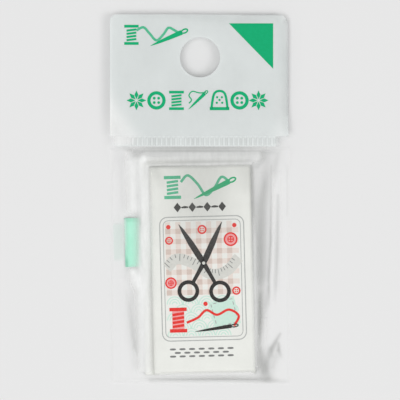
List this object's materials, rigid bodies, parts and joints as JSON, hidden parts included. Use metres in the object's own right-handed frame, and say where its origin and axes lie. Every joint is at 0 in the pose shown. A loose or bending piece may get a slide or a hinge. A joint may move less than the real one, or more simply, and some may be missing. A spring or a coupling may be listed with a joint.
{
  "type": "hand sewing needle pack",
  "caption": "Hang-sell pack of gold-eye hand-sewing needles: clear film pouch under a white header with a hang hole, holding a folded paper packet with needles on a leaf.",
  "frame": {"origin": "middle of the pack's back, on the surface it lies on", "axes": "+Y up the pack from the pouch to the header, +Z out of the front, +X to the right as seen from the front"},
  "size_m": [0.045, 0.0926, 0.0038],
  "materials": {
    "clear_film": "clear glossy film",
    "header_film": "white printed film, satin",
    "packet_paper": "white coated paper",
    "leaf_paper": "cream uncoated paper",
    "mint_film": "translucent mint film",
    "needle_steel": "polished nickel-plated steel with gold-plated eye end"
  },
  "bodies": {
    "pouch": {"pouch_back_film": "clear_film", "pouch_front_film": "clear_film"},
    "header": {"header_front_film": "header_film", "header_back_film": "header_film"},
    "packet": {"packet_sleeve": "packet_paper"},
    "slip": {"mint_slip": "mint_film"},
    "leaf": {"needle_leaf": "leaf_paper", "needle_band_lower": "leaf_paper", "needle_band_upper": "leaf_paper"},
    "needle_01": {"needle_01": "needle_steel"},
    "needle_02": {"needle_02": "needle_steel"},
    "needle_03": {"needle_03": "needle_steel"},
    "needle_04": {"needle_04": "needle_steel"},
    "needle_05": {"needle_05": "needle_steel"},
    "needle_06": {"needle_06": "needle_steel"},
    "needle_07": {"needle_07": "needle_steel"},
    "needle_08": {"needle_08": "needle_steel"},
    "needle_09": {"needle_09": "needle_steel"},
    "needle_10": {"needle_10": "needle_steel"},
    "needle_11": {"needle_11": "needle_steel"},
    "needle_12": {"needle_12": "needle_steel"},
    "needle_13": {"needle_13": "needle_steel"},
    "needle_14": {"needle_14": "needle_steel"},
    "needle_15": {"needle_15": "needle_steel"},
    "needle_16": {"needle_16": "needle_steel"}
  },
  "joints": [
    {"name": "header_fold", "type": "hinge", "parent": "pouch", "child": "header", "pos_m": [0, 0.01275, 0.00353], "axis": [1, 0, 0], "range_deg": [0, 120]},
    {"name": "packet_slide", "type": "slide", "parent": "pouch", "child": "packet", "axis": [-0.0262, 0.9997, 0], "range_m": [0, 0.095]},
    {"name": "slip_slide", "type": "slide", "parent": "pouch", "child": "slip", "axis": [-0.0262, 0.9997, 0], "range_m": [0, 0.066]},
    {"name": "leaf_slide", "type": "slide", "parent": "packet", "child": "leaf", "axis": [-0.0262, 0.9997, 0], "range_m": [0, 0.055]},
    {"name": "needle_01_slide", "type": "slide", "parent": "leaf", "child": "needle_01", "axis": [-0.0262, 0.9997, 0], "range_m": [0, 0.045]},
    {"name": "needle_02_slide", "type": "slide", "parent": "leaf", "child": "needle_02", "axis": [-0.0262, 0.9997, 0], "range_m": [0, 0.045]},
    {"name": "needle_03_slide", "type": "slide", "parent": "leaf", "child": "needle_03", "axis": [-0.0262, 0.9997, 0], "range_m": [0, 0.045]},
    {"name": "needle_04_slide", "type": "slide", "parent": "leaf", "child": "needle_04", "axis": [-0.0262, 0.9997, 0], "range_m": [0, 0.045]},
    {"name": "needle_05_slide", "type": "slide", "parent": "leaf", "child": "needle_05", "axis": [-0.0262, 0.9997, 0], "range_m": [0, 0.045]},
    {"name": "needle_06_slide", "type": "slide", "parent": "leaf", "child": "needle_06", "axis": [-0.0262, 0.9997, 0], "range_m": [0, 0.045]},
    {"name": "needle_07_slide", "type": "slide", "parent": "leaf", "child": "needle_07", "axis": [-0.0262, 0.9997, 0], "range_m": [0, 0.045]},
    {"name": "needle_08_slide", "type": "slide", "parent": "leaf", "child": "needle_08", "axis": [-0.0262, 0.9997, 0], "range_m": [0, 0.045]},
    {"name": "needle_09_slide", "type": "slide", "parent": "leaf", "child": "needle_09", "axis": [-0.0262, 0.9997, 0], "range_m": [0, 0.045]},
    {"name": "needle_10_slide", "type": "slide", "parent": "leaf", "child": "needle_10", "axis": [-0.0262, 0.9997, 0], "range_m": [0, 0.045]},
    {"name": "needle_11_slide", "type": "slide", "parent": "leaf", "child": "needle_11", "axis": [-0.0262, 0.9997, 0], "range_m": [0, 0.045]},
    {"name": "needle_12_slide", "type": "slide", "parent": "leaf", "child": "needle_12", "axis": [-0.0262, 0.9997, 0], "range_m": [0, 0.045]},
    {"name": "needle_13_slide", "type": "slide", "parent": "leaf", "child": "needle_13", "axis": [-0.0262, 0.9997, 0], "range_m": [0, 0.045]},
    {"name": "needle_14_slide", "type": "slide", "parent": "leaf", "child": "needle_14", "axis": [-0.0262, 0.9997, 0], "range_m": [0, 0.045]},
    {"name": "needle_15_slide", "type": "slide", "parent": "leaf", "child": "needle_15", "axis": [-0.0262, 0.9997, 0], "range_m": [0, 0.045]},
    {"name": "needle_16_slide", "type": "slide", "parent": "leaf", "child": "needle_16", "axis": [-0.0262, 0.9997, 0], "range_m": [0, 0.045]}
  ]
}
